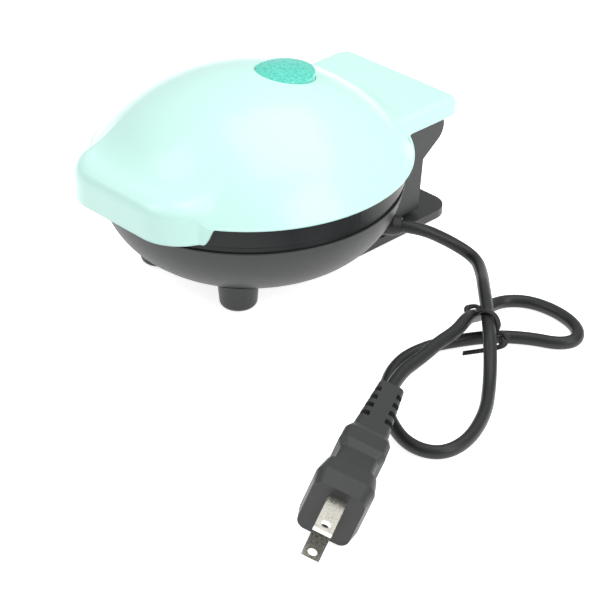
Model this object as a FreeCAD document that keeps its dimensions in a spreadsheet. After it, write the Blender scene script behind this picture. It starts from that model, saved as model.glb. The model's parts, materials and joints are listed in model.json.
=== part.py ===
# Mini waffle maker: a round lid and base hinged at the rear, with a short mains cord.
# Frame: +Z up, the front handle points to -Y, X runs across, and the feet stand on Z = 0.
# Each body is drawn about the plate axis and then shifted by axis_y, so that the origin is
# the bottom centre of the appliance's own box (the cord is left out of that box).
import FreeCAD, Part
import math
import os
from types import SimpleNamespace

import Sketcher

Vector = FreeCAD.Vector
doc = FreeCAD.newDocument("WaffleMaker")

# Driving dimensions in millimetres and degrees.
DIMENSIONS = {
    # overall
    "lid_radius": 63.5, "parting_height": 39.0, "dome_rise": 41.6, "rim_lift": 8.6,
    "front_reach": 3.5, "rear_reach": 22.0, "cover_wall": 2.2,
    # front and rear tabs of the lid cover
    "front_tab_half": 35.2, "front_tab_corner": 19.0, "front_tab_top": 17.4, "skirt_lift": 3.0,
    "front_tab_shift": -2.5,
    "rear_tab_half": 33.6, "rear_tab_corner": 7.0, "rear_tab_top": 15.8, "rear_tab_lift": 9.2,
    "tab_edge_round": 4.0, "tab_root": 30.0, "rear_pocket_root": 50.0,
    # bowl of the base
    "bowl_radius": 59.8, "bowl_flat_radius": 26.4, "bowl_floor": 7.0,
    "bowl_wall": 2.4, "seat_gap": 0.2,
    # trim rings that frame the plates
    "ring_radius": 60.2, "ring_height": 8.4, "ring_wall": 2.0, "web_radius": 51.3,
    "web_recess": 0.8, "web_depth": 3.0, "ring_gap": 0.3, "lower_ring_radius": 59.0,
    # cooking plates
    "plate_radius": 50.8, "flange_radius": 56.0, "flange_depth": 5.2, "plate_inset": 0.3,
    "cavity_radius": 48.4, "cavity_floor_radius": 46.6, "cavity_depth": 8.3, "floor_thickness": 2.7,
    "stud_pitch": 12.4, "stud_base": 9.2, "stud_tip": 7.0, "stud_height": 5.0,
    # heating elements, clamps and reflectors
    "element_radius": 36.0, "tube_radius": 3.3, "element_gap_angle": 30.0, "element_leg": 4.0,
    "pin_radius": 1.2, "pin_length": 5.0, "clamp_length": 80.0, "clamp_width": 10.0,
    "clamp_thickness": 1.5, "reflector_radius": 41.0, "reflector_thickness": 0.6,
    "reflector_rim": 3.0, "centre_boss_radius": 4.0,
    # thermostat and thermal fuse
    "thermostat_offset": 22.0, "thermostat_radius": 7.0, "thermostat_height": 4.6,
    "bracket_span": 12.5, "bracket_width": 8.0, "bracket_thickness": 0.8, "bracket_boss": 2.6,
    # screws
    "screw_radius": 1.5, "screw_head_radius": 2.6, "screw_head": 1.8, "screw_slot": 0.8,
    "ring_screw_radius": 54.9, "ring_screw_seat": 2.2, "plate_screw_radius": 53.4, "notch_radius": 3.4,
    "boss_radius": 3.2, "thread_depth": 8.0, "plate_thread_depth": 2.0,
    # indicator
    "lens_radius": 11.8, "lens_x": 4.2, "lens_offset": 14.2, "lens_top": 40.2, "lens_thickness": 2.4,
    "lens_dome": 1.4, "lens_foot": 30.0, "lens_lip": 1.2, "lens_gap": 0.15, "lamp_radius": 3.0,
    "lamp_length": 11.0, "holder_wall": 1.2,
    # hinge
    "hinge_y": 75.5, "hinge_rise": 1.5, "barrel_radius": 7.6, "pin_hole_radius": 1.5,
    "running_gap": 0.05, "column_half": 25.5, "cheek_thickness": 3.4, "blind_skin": 1.2,
    "ear_inner": 18.2, "ear_outer": 21.6, "ear_end_radius": 5.4, "bracket_plate": 2.0,
    "bracket_front": 62.0, "bracket_rear": 80.9, "bracket_seat": 11.6, "bracket_thread": 2.6,
    "bracket_screw_x": 11.0, "bracket_screw_front": 67.0, "bracket_screw_rear": 76.0,
    "web_wall": 3.0, "column_root": 52.0, "column_heel": 69.2, "neck_y": 71.3, "neck_z": 28.2,
    "shoulder_y": 68.5, "brow_y": 63.5, "brow_z": 43.5, "chin_y": 62.4, "chin_z": 34.7,
    # stand plate and feet
    "stand_half": 30.2, "stand_front": 30.0, "stand_rear": 84.5, "stand_corner": 9.0,
    "stand_thickness": 3.5, "pad_thickness": 1.0, "column_reveal": 1.8, "pad_radius": 4.0,
    "foot_x": 23.4, "foot_y": 29.0, "foot_radius": 8.2, "foot_bottom_radius": 7.4,
    "foot_round": 2.4, "foot_top": 13.7, "screw_sink": 2.0, "stand_screw_x": 15.0,
    "stand_screw_front": 38.0, "stand_screw_rear": 62.0, "plinth_front": 56.0, "plinth_rear": 66.0,
    "pad_x": 21.0, "pad_front": 46.0, "pad_rear": 75.0, "base_boss": 7.0, "base_thread_depth": 6.0,
    "inner_boss": 9.0,
    # cord outlet
    "outlet_angle": 37.0, "outlet_height": 20.0, "outlet_hole": 4.2, "gland_tip": 59.5,
    "gland_tip_radius": 3.3, "gland_flange_radius": 5.2, "gland_flange": 1.6, "gland_seat": 48.0,
    "gland_barrel": 56.5,
    "cord_radius": 2.5, "outlet_cut": 14.0, "cord_inside": 6.0, "cord_run_out": 6.0,
    "cord_run_in": 12.0, "tie_width": 4.0, "tie_thickness": 1.2,
    # inner wiring
    "wire_radius": 1.1, "lamp_wire_radius": 0.7, "sleeve_radius": 2.2, "sleeve_end": 2.5,
    # plug
    "plug_x": 118.8, "plug_y": -54.3, "plug_height": 13.4, "plug_yaw": -60.9, "plug_roll": -20.0,
    "plug_length": 72.0, "blade_spacing": 12.7, "blade_width": 6.35, "blade_thickness": 1.5,
    "blade_length": 17.0, "blade_hole": 1.6, "blade_root": 6.0, "slot_start": 4.6,
    "slot_pitch": 5.6, "slot_width": 2.8, "slot_core": 2.9, "slot_reach": 12.0,
}


class Size:
    """A dimension that carries both its spreadsheet expression and its value."""

    def __init__(self, text, value):
        self.text = text
        self.value = value

    def join(self, sign, other, value):
        return Size(f"({self.text} {sign} {wrap(other).text})", value)

    def __add__(self, other):
        return self.join("+", other, self.value + wrap(other).value)

    def __sub__(self, other):
        return self.join("-", other, self.value - wrap(other).value)

    def __mul__(self, other):
        return self.join("*", other, self.value * wrap(other).value)

    def __truediv__(self, other):
        return self.join("/", other, self.value / wrap(other).value)

    def __neg__(self):
        return Size(f"(0 - {self.text})", -self.value)


def wrap(number):
    return number if isinstance(number, Size) else Size(repr(float(number)), float(number))


def root(size):
    return Size(f"sqrt({size.text})", math.sqrt(size.value))


def cosine(size):
    return Size(f"cos({size.text} * 1 deg)", math.cos(math.radians(size.value)))


def sine(size):
    return Size(f"sin({size.text} * 1 deg)", math.sin(math.radians(size.value)))


def make_sheet():
    sheet = doc.addObject("Spreadsheet::Sheet", "Sizes")
    for row, (name, value) in enumerate(DIMENSIONS.items(), start=1):
        sheet.set(f"A{row}", name)
        sheet.set(f"B{row}", str(value))
        sheet.setAlias(f"B{row}", name)
    doc.recompute()
    return SimpleNamespace(**{name: Size(f"Sizes.{name}", sheet.get(name)) for name in DIMENSIONS})


def bind(thing, prop, size):
    thing.setExpression(prop, wrap(size).text)


def move(thing, x=0, y=0, z=0):
    for axis, size in (("x", x), ("y", y), ("z", z)):
        bind(thing, f"Placement.Base.{axis}", size)
    return thing


s = make_sheet()
PARTING = s.parting_height
HINGE_Z = PARTING + s.hinge_rise
AXIS_Y = (s.front_reach - s.rear_reach) / 2
SUBPARTS = []
LID_SCREW_ANGLES = (45, 135, 225, 315)
BASE_SCREW_ANGLES = (70, 160, 250, 340)
PLATE_SCREW_ANGLES = (90, 210, 330)


def finish(thing, label):
    """Name a sub-part and put the plate axis at its place in the row frame."""
    thing.Label = label
    move(thing, 0, AXIS_Y, 0)
    SUBPARTS.append(thing)
    return thing


# ---- sketch helpers -------------------------------------------------------------------


def arc_between(start, end, radius, side):
    """The short arc from start to end; side +1 turns left, -1 turns right."""
    chord = end - start
    middle = start + chord / 2
    left = Vector(-chord.y, chord.x, 0).normalize()
    height = math.sqrt(max(radius ** 2 - chord.Length ** 2 / 4, 0))
    centre = middle + left * (height * side)
    first, last = (start, end) if side > 0 else (end, start)
    low = math.atan2(first.y - centre.y, first.x - centre.x)
    high = math.atan2(last.y - centre.y, last.x - centre.x)
    if high < low:
        high += 2 * math.pi
    return Part.ArcOfCircle(Part.Circle(centre, Vector(0, 0, 1), radius), low, high)


def constrain(sketch, *parts):
    return sketch.addConstraint(Sketcher.Constraint(*parts))


def draw(sketch, corners):
    """Draw a closed outline. A corner is (x, y), or (x, y, radius, side) when an arc arrives there."""
    points = [Vector(wrap(c[0]).value, wrap(c[1]).value, 0) for c in corners]
    ends = []
    for i, start in enumerate(points):
        corner = corners[(i + 1) % len(corners)]
        end = points[(i + 1) % len(points)]
        if len(corner) == 2:
            edge = sketch.addGeometry(Part.LineSegment(start, end))
            ends.append((edge, 1, 2))
            continue
        radius, side = wrap(corner[2]), corner[3]
        edge = sketch.addGeometry(arc_between(start, end, radius.value, side))
        ends.append((edge, 1, 2) if side > 0 else (edge, 2, 1))
        index = constrain(sketch, "Radius", edge, radius.value)
        sketch.setExpression(f"Constraints[{index}]", radius.text)
    for i, (edge, first, last) in enumerate(ends):
        after = ends[(i + 1) % len(ends)]
        constrain(sketch, "Coincident", edge, last, after[0], after[1])
        for kind, axis, size in (("DistanceX", -2, corners[i][0]), ("DistanceY", -1, corners[i][1])):
            if isinstance(size, Size):
                index = constrain(sketch, kind, edge, first, size.value)
                sketch.setExpression(f"Constraints[{index}]", size.text)
            else:
                constrain(sketch, "PointOnObject", edge, first, axis)


def draw_circle(sketch, x, y, radius):
    x, y, radius = wrap(x), wrap(y), wrap(radius)
    circle = Part.Circle(Vector(x.value, y.value, 0), Vector(0, 0, 1), radius.value)
    edge = sketch.addGeometry(circle)
    for kind, size in (("DistanceX", x), ("DistanceY", y)):
        index = constrain(sketch, kind, edge, 3, size.value)
        sketch.setExpression(f"Constraints[{index}]", size.text)
    index = constrain(sketch, "Radius", edge, radius.value)
    sketch.setExpression(f"Constraints[{index}]", radius.text)


def new_body(name):
    return doc.addObject("PartDesign::Body", name)


def new_sketch(body, role, offset=None):
    sketch = body.newObject("Sketcher::SketchObject", "Outline")
    plane = next(f for f in body.Origin.OriginFeatures if f.Role == role)
    sketch.AttachmentSupport = [(plane, "")]
    sketch.MapMode = "FlatFace"
    if offset is not None:
        bind(sketch, "AttachmentOffset.Base.z", offset)
    return sketch


def turned(body, corners, kind="Revolution"):
    """Turn a half section, drawn as (radius, height), about the plate axis."""
    sketch = new_sketch(body, "XZ_Plane")
    draw(sketch, corners)
    feature = body.newObject(f"PartDesign::{kind}", kind)
    feature.Profile = sketch
    feature.ReferenceAxis = (sketch, ["V_Axis"])
    feature.Angle = 360
    return feature


def raised(body, outline, base, top, kind="Pad"):
    """Pad or pocket an outline, or a list of circles, between two heights."""
    start = base if kind == "Pad" else top
    sketch = new_sketch(body, "XY_Plane", start)
    if len(outline[0]) == 3:
        for circle in outline:
            draw_circle(sketch, *circle)
    else:
        draw(sketch, outline)
    feature = body.newObject(f"PartDesign::{kind}", kind)
    feature.Profile = sketch
    bind(feature, "Length", top - base)
    return feature


# ---- Part workbench helpers -------------------------------------------------------------


def cylinder(radius, height, x=0, y=0, z=0):
    thing = doc.addObject("Part::Cylinder", "Cylinder")
    bind(thing, "Radius", radius)
    bind(thing, "Height", height)
    return move(thing, x, y, z)


def cylinder_across(radius, left, right, y, z):
    """A cylinder along X from left to right."""
    thing = doc.addObject("Part::Cylinder", "Cylinder")
    bind(thing, "Radius", radius)
    bind(thing, "Height", wrap(right) - left)
    thing.Placement.Rotation = FreeCAD.Rotation(Vector(0, 1, 0), 90)
    return move(thing, left, y, z)


def cone(bottom, top, height, x=0, y=0, z=0):
    thing = doc.addObject("Part::Cone", "Cone")
    bind(thing, "Radius1", bottom)
    bind(thing, "Radius2", top)
    bind(thing, "Height", height)
    return move(thing, x, y, z)


def box(low, high):
    """A box between two corners."""
    thing = doc.addObject("Part::Box", "Box")
    for prop, near, far in zip(("Length", "Width", "Height"), low, high):
        bind(thing, prop, wrap(far) - near)
    return move(thing, *low)


def fuse(things):
    if len(things) == 1:
        return things[0]
    thing = doc.addObject("Part::MultiFuse", "Fuse")
    thing.Shapes = things
    return thing


def cut(base, tools):
    thing = doc.addObject("Part::Cut", "Cut")
    thing.Base = base
    thing.Tool = fuse(tools)
    return thing


def group(things):
    thing = doc.addObject("Part::Compound", "Group")
    thing.Links = things
    return thing


def ring_points(radius, degrees):
    """Places on a circle about the plate axis, as bound (x, y) pairs."""
    places = []
    for angle in degrees:
        turn = math.radians(angle)
        places.append((radius * math.cos(turn), radius * math.sin(turn)))
    return places


def screw(x, y, seat, length, side):
    """A slotted pan screw. side +1 points the shank up from its seat, -1 down."""
    head_low = seat - s.screw_head if side > 0 else seat
    shank_low = seat if side > 0 else seat - length
    head = cylinder(s.screw_head_radius, s.screw_head, x, y, head_low)
    shank = cylinder(s.screw_radius, length, x, y, shank_low)
    slot_low = head_low if side > 0 else head_low + s.screw_head - s.screw_slot
    x, y = wrap(x), wrap(y)
    half = s.screw_slot / 2
    reach = s.screw_head_radius + half
    slot = box((x - reach, y - half, slot_low), (x + reach, y + half, slot_low + s.screw_slot))
    return cut(fuse([head, shank]), [slot])


def hole(x, y, low, high):
    """A cutting tool for a screw's shank."""
    return cylinder(s.screw_radius, high - low, x, y, low)


# ---- routes for cords and wires ------------------------------------------------------------


def route_wire(points):
    """Straight runs joined by tangent arcs, as large as both runs allow."""
    share = 0.45
    points = [Vector(*p) for p in points]
    edges = []
    radii = []
    last = points[0]
    for before, corner, after in zip(points, points[1:], points[2:]):
        arriving = (corner - before).normalize()
        leaving = (after - corner).normalize()
        half_turn = arriving.getAngle(leaving) / 2
        cut_back = share * min((corner - before).Length, (after - corner).Length)
        radius = cut_back / math.tan(half_turn)
        start = corner - arriving * cut_back
        end = corner + leaving * cut_back
        inward = (leaving - arriving).normalize()
        middle = corner + inward * (radius / math.cos(half_turn) - radius)
        edges.append(Part.LineSegment(last, start).toShape())
        edges.append(Part.Arc(start, middle, end).toShape())
        radii.append(radius)
        last = end
    edges.append(Part.LineSegment(last, points[-1]).toShape())
    return Part.Wire(edges), radii


def tube(points, radius):
    """A round tube swept along a route of straight runs and arcs."""
    wire, radii = route_wire(points)
    start = Vector(*points[0])
    direction = (Vector(*points[1]) - start).normalize()
    circle = Part.Wire(Part.Circle(start, direction, radius).toShape())
    return wire.makePipeShell([circle], True, False), wire, radii


def set_shape(name, shape):
    thing = doc.addObject("Part::Feature", name)
    thing.Shape = shape
    return thing


# ---- lid ------------------------------------------------------------------------------------


def dome_arc(inset):
    """Half section of the dome: the cap of a sphere through the apex and the rim, less inset."""
    rise = s.dome_rise - s.rim_lift
    sphere = (s.lid_radius * s.lid_radius + rise * rise) / (rise * 2)
    radius = sphere - inset
    drop = sphere - rise
    rim = root(radius * radius - drop * drop)
    apex = PARTING + s.dome_rise - inset
    foot = PARTING + s.rim_lift
    return [(0, apex), (rim, foot, radius, -1), (0, foot)]


def tab_outline(half, corner, far, near, side, middle, inset):
    """A tab in plan, with rounded outer corners. side is -1 front, +1 rear; middle is its X."""
    half = half - inset
    far = far - inset
    round_off = corner - inset
    turn = 1 if side < 0 else -1
    left = middle - half
    right = middle + half
    return [
        (left, near * side),
        (left, (far - round_off) * side),
        (left + round_off, far * side, round_off, turn),
        (right - round_off, far * side),
        (right, (far - round_off) * side, round_off, turn),
        (right, near * side),
    ]


def tab_block(outline, low, high, rounding):
    """A tab as a padded block whose top edges are rounded."""
    body = new_body("Tab")
    pad = raised(body, outline, low, high)
    doc.recompute()
    names = []
    for i, edge in enumerate(pad.Shape.Edges, start=1):
        bounds = edge.BoundBox
        if bounds.ZMax - bounds.ZMin < 0.01 and abs(bounds.ZMax - high.value) < 0.01:
            names.append(f"Edge{i}")
    fillet = body.newObject("PartDesign::Fillet", "TopEdge")
    fillet.Base = (pad, names)
    bind(fillet, "Radius", rounding)
    return body


def dome_body(inset):
    body = new_body("Dome")
    turned(body, dome_arc(inset))
    return body


def common(first, second):
    thing = doc.addObject("Part::MultiCommon", "Common")
    thing.Shapes = [first, second]
    return thing


def at_lens(radius, height, low):
    """A cylinder on the indicator's own axis."""
    return cylinder(radius, height, s.lens_x, s.lens_offset, low)


def lens_cutter(radius, low):
    return at_lens(radius, s.dome_rise, low)


def lid_cover():
    """The dome with its front handle tab and its rear hinge tab, all one moulded shell."""
    none = wrap(0)
    front = s.lid_radius + s.front_reach
    rear = s.lid_radius + s.rear_reach
    front_low = PARTING + s.skirt_lift
    front_top = PARTING + s.front_tab_top
    rear_low = PARTING + s.rear_tab_lift
    rear_top = PARTING + s.rear_tab_top
    front_shape = (s.front_tab_half, s.front_tab_corner, front, s.tab_root, -1,
                   s.front_tab_shift)
    rear_shape = (s.rear_tab_half, s.rear_tab_corner, rear, s.tab_root, 1, none)
    pocket_shape = (s.rear_tab_half, s.rear_tab_corner, rear, s.rear_pocket_root, 1, none)
    wall = s.cover_wall
    outside = fuse([
        dome_body(none),
        tab_block(tab_outline(*front_shape, none), front_low, front_top, s.tab_edge_round),
        tab_block(tab_outline(*rear_shape, none), rear_low, rear_top, s.tab_edge_round),
    ])
    inner_round = s.tab_edge_round - wall
    below = PARTING - wall
    clearance = s.ring_height + s.ring_gap
    inside = [
        dome_body(wall),
        tab_block(tab_outline(*front_shape, wall), below, front_top - wall, inner_round),
        tab_block(tab_outline(*pocket_shape, wall), below, rear_top - wall, inner_round),
        cylinder(s.ring_radius + s.ring_gap, clearance + wall, 0, 0, below),
    ]
    shell = cut(outside, inside)
    seat = PARTING + s.web_depth
    posts = []
    holes = [lens_cutter(s.lens_radius + s.lens_gap, PARTING + s.lens_foot)]
    for x, y in ring_points(s.ring_screw_radius, LID_SCREW_ANGLES):
        posts.append(cylinder(s.boss_radius, s.dome_rise, x, y, seat))
        holes.append(hole(x, y, seat, seat + s.thread_depth))
    bracket_seat = PARTING + s.bracket_seat
    for x, y in bracket_screw_places():
        posts.append(cylinder(s.boss_radius, s.dome_rise, x, y, bracket_seat))
        holes.append(hole(x, y, bracket_seat, bracket_seat + s.bracket_thread))
    bosses = common(fuse(posts), boss_limit(rear_shape, rear_low, rear_top))
    finish(cut(fuse([shell, bosses]), holes), "lid_cover")


def boss_limit(rear_shape, low, top):
    """The space that posts may fill: up to the middle of the cover's wall."""
    half_wall = s.cover_wall / 2
    outline = tab_outline(*rear_shape, half_wall)
    dome = dome_body(half_wall)
    foot = cylinder(s.ring_radius, s.rim_lift, 0, 0, PARTING)
    tab = new_body("TabSpace")
    raised(tab, outline, low, top - half_wall)
    return fuse([dome, foot, tab])


# ---- pieces that the lid and the base both have ------------------------------------------------
# side is +1 for the lid's half and -1 for the base's: heights are counted away from the parting plane.


def level(side, height):
    return PARTING + wrap(height) * side


def section(side, corners):
    """A half section given as (radius, height from the parting plane)."""
    return [(radius, level(side, height)) for radius, height in corners]


def post(side, radius, near, far, x=0, y=0):
    """A cylinder between two heights from the parting plane."""
    low = level(side, near if side > 0 else far)
    return cylinder(radius, wrap(far) - near, x, y, low)


def slab(side, corner_low, corner_high, near, far):
    """A flat bar in plan between two heights from the parting plane."""
    low, high = (near, far) if side > 0 else (far, near)
    return box((*corner_low, level(side, low)), (*corner_high, level(side, high)))


def stud(side, x, y):
    """A square frustum standing on the plate's floor."""
    thing = doc.addObject("Part::Wedge", "Stud")
    for axis in ("X", "Z"):
        bind(thing, f"{axis}min", -s.stud_base / 2)
        bind(thing, f"{axis}max", s.stud_base / 2)
        bind(thing, f"{axis}2min", -s.stud_tip / 2)
        bind(thing, f"{axis}2max", s.stud_tip / 2)
    bind(thing, "Ymin", 0)
    bind(thing, "Ymax", s.stud_height)
    thing.Placement.Rotation = FreeCAD.Rotation(Vector(1, 0, 0), -90 * side)
    return move(thing, x, y, level(side, s.cavity_depth))


def stud_places():
    """Grid places whose studs lie wholly on the plate's floor."""
    count = int(s.cavity_floor_radius.value / s.stud_pitch.value)
    half = s.stud_base.value / 2
    for column in range(-count, count + 1):
        for row in range(-count, count + 1):
            far_x = abs(column) * s.stud_pitch.value + half
            far_y = abs(row) * s.stud_pitch.value + half
            if math.hypot(far_x, far_y) <= s.cavity_floor_radius.value:
                yield s.stud_pitch * column, s.stud_pitch * row


BACK = s.cavity_depth + s.floor_thickness
CLAMP = BACK + s.tube_radius * 2
REFLECTOR = CLAMP + s.clamp_thickness
BRACKET = BACK + s.thermostat_height


def cooking_plate(side, label):
    """Cast plate: a dish with a grid of square studs, a mounting flange and bosses on its back."""
    dish = new_body("Dish")
    turned(dish, section(side, [
        (0, s.cavity_depth), (s.cavity_floor_radius, s.cavity_depth),
        (s.cavity_radius, s.plate_inset), (s.plate_radius, s.plate_inset),
        (s.plate_radius, s.web_depth), (s.flange_radius, s.web_depth),
        (s.flange_radius, s.flange_depth), (s.cavity_radius, s.flange_depth),
        (s.cavity_radius, BACK), (0, BACK),
    ]))
    solids = [dish]
    solids += [stud(side, x, y) for x, y in stud_places()]
    offset = s.thermostat_offset * side
    solids.append(post(side, s.centre_boss_radius, BACK, CLAMP))
    for x in (-s.bracket_span, s.bracket_span):
        solids.append(post(side, s.bracket_boss, BACK, BRACKET, x, offset))
    tools = [post(side, s.screw_radius, BACK, CLAMP)]
    for x in (-s.bracket_span, s.bracket_span):
        tools.append(post(side, s.screw_radius, BACK, BRACKET, x, offset))
    angles = LID_SCREW_ANGLES if side > 0 else BASE_SCREW_ANGLES
    for x, y in ring_points(s.ring_screw_radius, angles):
        tools.append(post(side, s.notch_radius, s.web_depth, s.flange_depth, x, y))
    for x, y in ring_points(s.plate_screw_radius, PLATE_SCREW_ANGLES):
        tools.append(post(side, s.screw_radius, s.web_depth, s.flange_depth, x, y))
    finish(cut(fuse(solids), tools), label)


def heating_element(side, label):
    """Sheathed tube bent round in a C, with a leg and a pin at each end."""
    middle = BACK + s.tube_radius
    torus = doc.addObject("Part::Torus", "Tube")
    bind(torus, "Radius1", s.element_radius)
    bind(torus, "Radius2", s.tube_radius)
    bind(torus, "Angle3", wrap(360) - s.element_gap_angle)
    half_gap = s.element_gap_angle / 2
    torus.Placement.Rotation = FreeCAD.Rotation(Vector(0, 0, 1), 90 + half_gap.value)
    move(torus, 0, 0, level(side, middle))
    solids = [torus]
    for x, y in element_ends():
        ball = doc.addObject("Part::Sphere", "Bend")
        bind(ball, "Radius", s.tube_radius)
        solids.append(move(ball, x, y, level(side, middle)))
        solids.append(post(side, s.tube_radius, middle, middle + s.element_leg, x, y))
        leg_end = middle + s.element_leg
        solids.append(post(side, s.pin_radius, leg_end, leg_end + s.pin_length, x, y))
    finish(fuse(solids), label)


def element_ends():
    """The two ends of the element, either side of the gap at the rear."""
    half_gap = s.element_gap_angle / 2
    x = s.element_radius * sine(half_gap)
    y = s.element_radius * cosine(half_gap)
    return [(-x, y), (x, y)]


def element_clamp(side, label):
    """Flat bar that holds the element against the plate's back."""
    half_length, half_width = s.clamp_length / 2, s.clamp_width / 2
    bar = slab(side, (-half_length, -half_width), (half_length, half_width), CLAMP, REFLECTOR)
    finish(cut(bar, [post(side, s.screw_radius, CLAMP, REFLECTOR)]), label)


def reflector(side, label):
    """Thin dish that throws the heat back to the plate, with holes for the element's legs."""
    dish = new_body("Dish")
    far = REFLECTOR + s.reflector_thickness
    outer = s.reflector_radius + s.reflector_thickness
    turned(dish, section(side, [
        (0, REFLECTOR), (s.reflector_radius, REFLECTOR),
        (s.reflector_radius, REFLECTOR - s.reflector_rim), (outer, REFLECTOR - s.reflector_rim),
        (outer, far), (0, far),
    ]))
    tools = [post(side, s.screw_radius, REFLECTOR, far)]
    tools += [post(side, s.tube_radius + s.lens_gap, REFLECTOR, far, x, y) for x, y in element_ends()]
    finish(cut(dish, tools), label)


def thermostat(side, label):
    """Bimetal disc thermostat pressed against the plate, with two tabs."""
    offset = s.thermostat_offset * side
    can = post(side, s.thermostat_radius, BACK, BRACKET, 0, offset)
    finish(group([can]), label)


def thermostat_bracket(side, label):
    """Flat strap across the thermostat, screwed to two bosses."""
    offset = s.thermostat_offset * side
    half = s.bracket_span + s.bracket_boss
    near = (-half, offset - s.bracket_width / 2)
    far = (half, offset + s.bracket_width / 2)
    strap = slab(side, near, far, BRACKET, BRACKET + s.bracket_thickness)
    tools = []
    for x in (-s.bracket_span, s.bracket_span):
        tools.append(post(side, s.screw_radius, BRACKET, BRACKET + s.bracket_thickness, x, offset))
    finish(cut(strap, tools), label)


def plate_screws(side, label):
    """The screws of one half's plate: bracket, clamp and flange screws."""
    offset = s.thermostat_offset * side
    screws = []
    far = REFLECTOR + s.reflector_thickness
    screws.append(screw(0, 0, level(side, far), far - BACK - s.screw_head, -side))
    strap = BRACKET + s.bracket_thickness
    for x in (-s.bracket_span, s.bracket_span):
        screws.append(screw(x, offset, level(side, strap), strap - BACK - s.screw_slot, -side))
    for x, y in ring_points(s.plate_screw_radius, PLATE_SCREW_ANGLES):
        seat = level(side, s.flange_depth)
        screws.append(screw(x, y, seat, s.flange_depth - s.web_depth + s.plate_thread_depth, -side))
    finish(group(screws), label)


def trim_ring(side, label):
    """Plastic ring that frames the plate. The lid's one has an outer wall up to the cover's rim."""
    ring = new_body("Ring")
    if side > 0:
        inner_wall = s.ring_radius - s.ring_wall
        outline = [
            (s.web_radius, s.web_recess), (inner_wall, s.web_recess), (inner_wall, 0),
            (s.ring_radius, 0), (s.ring_radius, s.ring_height),
            (inner_wall, s.ring_height), (inner_wall, s.web_depth), (s.web_radius, s.web_depth),
        ]
    else:
        outline = [
            (s.web_radius, s.web_recess), (s.lower_ring_radius, s.web_recess),
            (s.lower_ring_radius, s.web_depth), (s.web_radius, s.web_depth),
        ]
    turned(ring, section(side, outline))
    angles = LID_SCREW_ANGLES if side > 0 else BASE_SCREW_ANGLES
    tools = []
    for x, y in ring_points(s.ring_screw_radius, angles):
        tools.append(post(side, s.screw_radius, s.ring_screw_seat, s.web_depth, x, y))
        tools.append(post(side, s.screw_head_radius + s.lens_gap, s.web_recess, s.ring_screw_seat, x, y))
    for x, y in ring_points(s.plate_screw_radius, PLATE_SCREW_ANGLES):
        tools.append(post(side, s.screw_radius, s.web_depth - s.plate_thread_depth, s.web_depth, x, y))
    finish(cut(ring, tools), label)


def ring_screws(side, label):
    angles = LID_SCREW_ANGLES if side > 0 else BASE_SCREW_ANGLES
    depth = s.thread_depth if side > 0 else s.base_thread_depth
    length = s.web_depth - s.ring_screw_seat + depth
    seat = level(side, s.ring_screw_seat)
    screws = [screw(x, y, seat, length, side) for x, y in ring_points(s.ring_screw_radius, angles)]
    finish(group(screws), label)


def cooking_half(side, name):
    cooking_plate(side, f"{name}_plate")
    heating_element(side, f"{name}_heating_element")
    element_clamp(side, f"{name}_element_clamp")
    reflector(side, f"{name}_reflector")
    trim_ring(side, f"{name}_trim_ring")
    plate_screws(side, f"{name}_plate_screws")
    ring_screws(side, f"{name}_ring_screws")


# ---- indicator in the lid -------------------------------------------------------------------------


def indicator_lens():
    """Domed lens with a skirt, standing upright in the cover's hole."""
    body = new_body("Lens")
    crown = s.lens_dome
    top = PARTING + s.lens_top + crown
    edge = s.lens_radius
    outer = (edge * edge + crown * crown) / (crown * 2)
    foot = PARTING + s.lens_foot
    roof = top - crown - s.lens_thickness
    bore = edge - s.holder_wall
    turned(body, [
        (0, top), (edge, top - crown, outer, -1), (edge, foot), (bore, foot), (bore, roof), (0, roof),
    ])
    move(body, s.lens_x, s.lens_offset, 0)
    finish(fuse([body, lens_lip()]), "indicator_lens")


def lens_lip():
    """Small lip at the foot of the lens, under the cover, that stops it pulling out."""
    low = PARTING + s.lens_foot
    outer = at_lens(s.lens_radius + s.lens_lip, s.lens_lip, low)
    inner = at_lens(s.lens_radius - s.holder_wall / 2, s.lens_lip, low)
    return cut(outer, [inner])


def lamp_holder():
    """Cup under the lens: a flange that the lens sits on and a tube round the lamp."""
    flange_low = PARTING + s.lens_foot - s.holder_wall
    tube_low = flange_low - s.lamp_length / 2
    tube_radius = s.lamp_radius + s.lens_gap + s.holder_wall
    flange = at_lens(s.lens_radius + s.lens_lip, s.holder_wall, flange_low)
    tube_ = at_lens(tube_radius, s.lamp_length / 2, tube_low)
    bore = at_lens(s.lamp_radius + s.lens_gap, s.lamp_length, tube_low)
    finish(cut(fuse([flange, tube_]), [bore]), "lamp_holder")


def indicator_lamp():
    """Small neon lamp standing in its holder."""
    low = PARTING + s.lens_foot - s.holder_wall - s.lamp_length / 2
    round_end = doc.addObject("Part::Sphere", "Tip")
    bind(round_end, "Radius", s.lamp_radius)
    move(round_end, s.lens_x, s.lens_offset, low + s.lamp_length - s.lamp_radius)
    glass = at_lens(s.lamp_radius, s.lamp_length - s.lamp_radius, low)
    finish(fuse([glass, round_end]), "indicator_lamp")


def sleeve(side, x, y):
    """Push-on sleeve over an element's pin, solid at its far end where the wire goes in."""
    near = BACK + s.tube_radius + s.element_leg
    far = near + s.pin_length
    outside = post(side, s.sleeve_radius, near, far + s.sleeve_end, x, y)
    return cut(outside, [post(side, s.pin_radius, near, far, x, y)])


def wire_height(side):
    """Height at which a wire goes into the solid end of its sleeve."""
    return level(side, BACK + s.tube_radius + s.element_leg + s.pin_length + s.sleeve_end / 2)


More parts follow.
